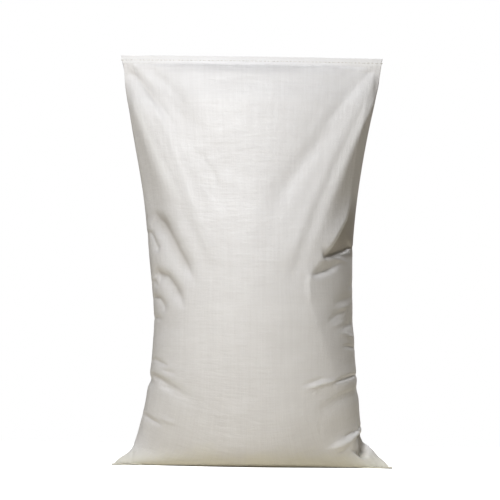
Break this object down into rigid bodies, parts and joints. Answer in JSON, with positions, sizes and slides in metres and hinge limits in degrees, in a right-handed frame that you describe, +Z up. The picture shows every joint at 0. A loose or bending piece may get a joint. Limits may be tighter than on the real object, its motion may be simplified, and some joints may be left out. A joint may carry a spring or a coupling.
{
  "type": "fertilizer bag",
  "caption": "Filled fertilizer sack of plain white woven polypropylene that holds loose granules, standing on its sewn bottom with its flat top sewn shut",
  "frame": {"origin": "On the floor under the middle of the standing sack", "axes": "+X to the right across the sack as its front is seen, -Y out of the front, +Z up"},
  "size_m": [0.5526, 0.3102, 0.811],
  "materials": {
    "woven_polypropylene": "satin",
    "sewing_thread": "matte"
  },
  "bodies": {
    "root": {"woven_sack": "woven_polypropylene", "top_seam_thread": "sewing_thread", "bottom_seam_thread": "sewing_thread"}
  },
  "joints": []
}
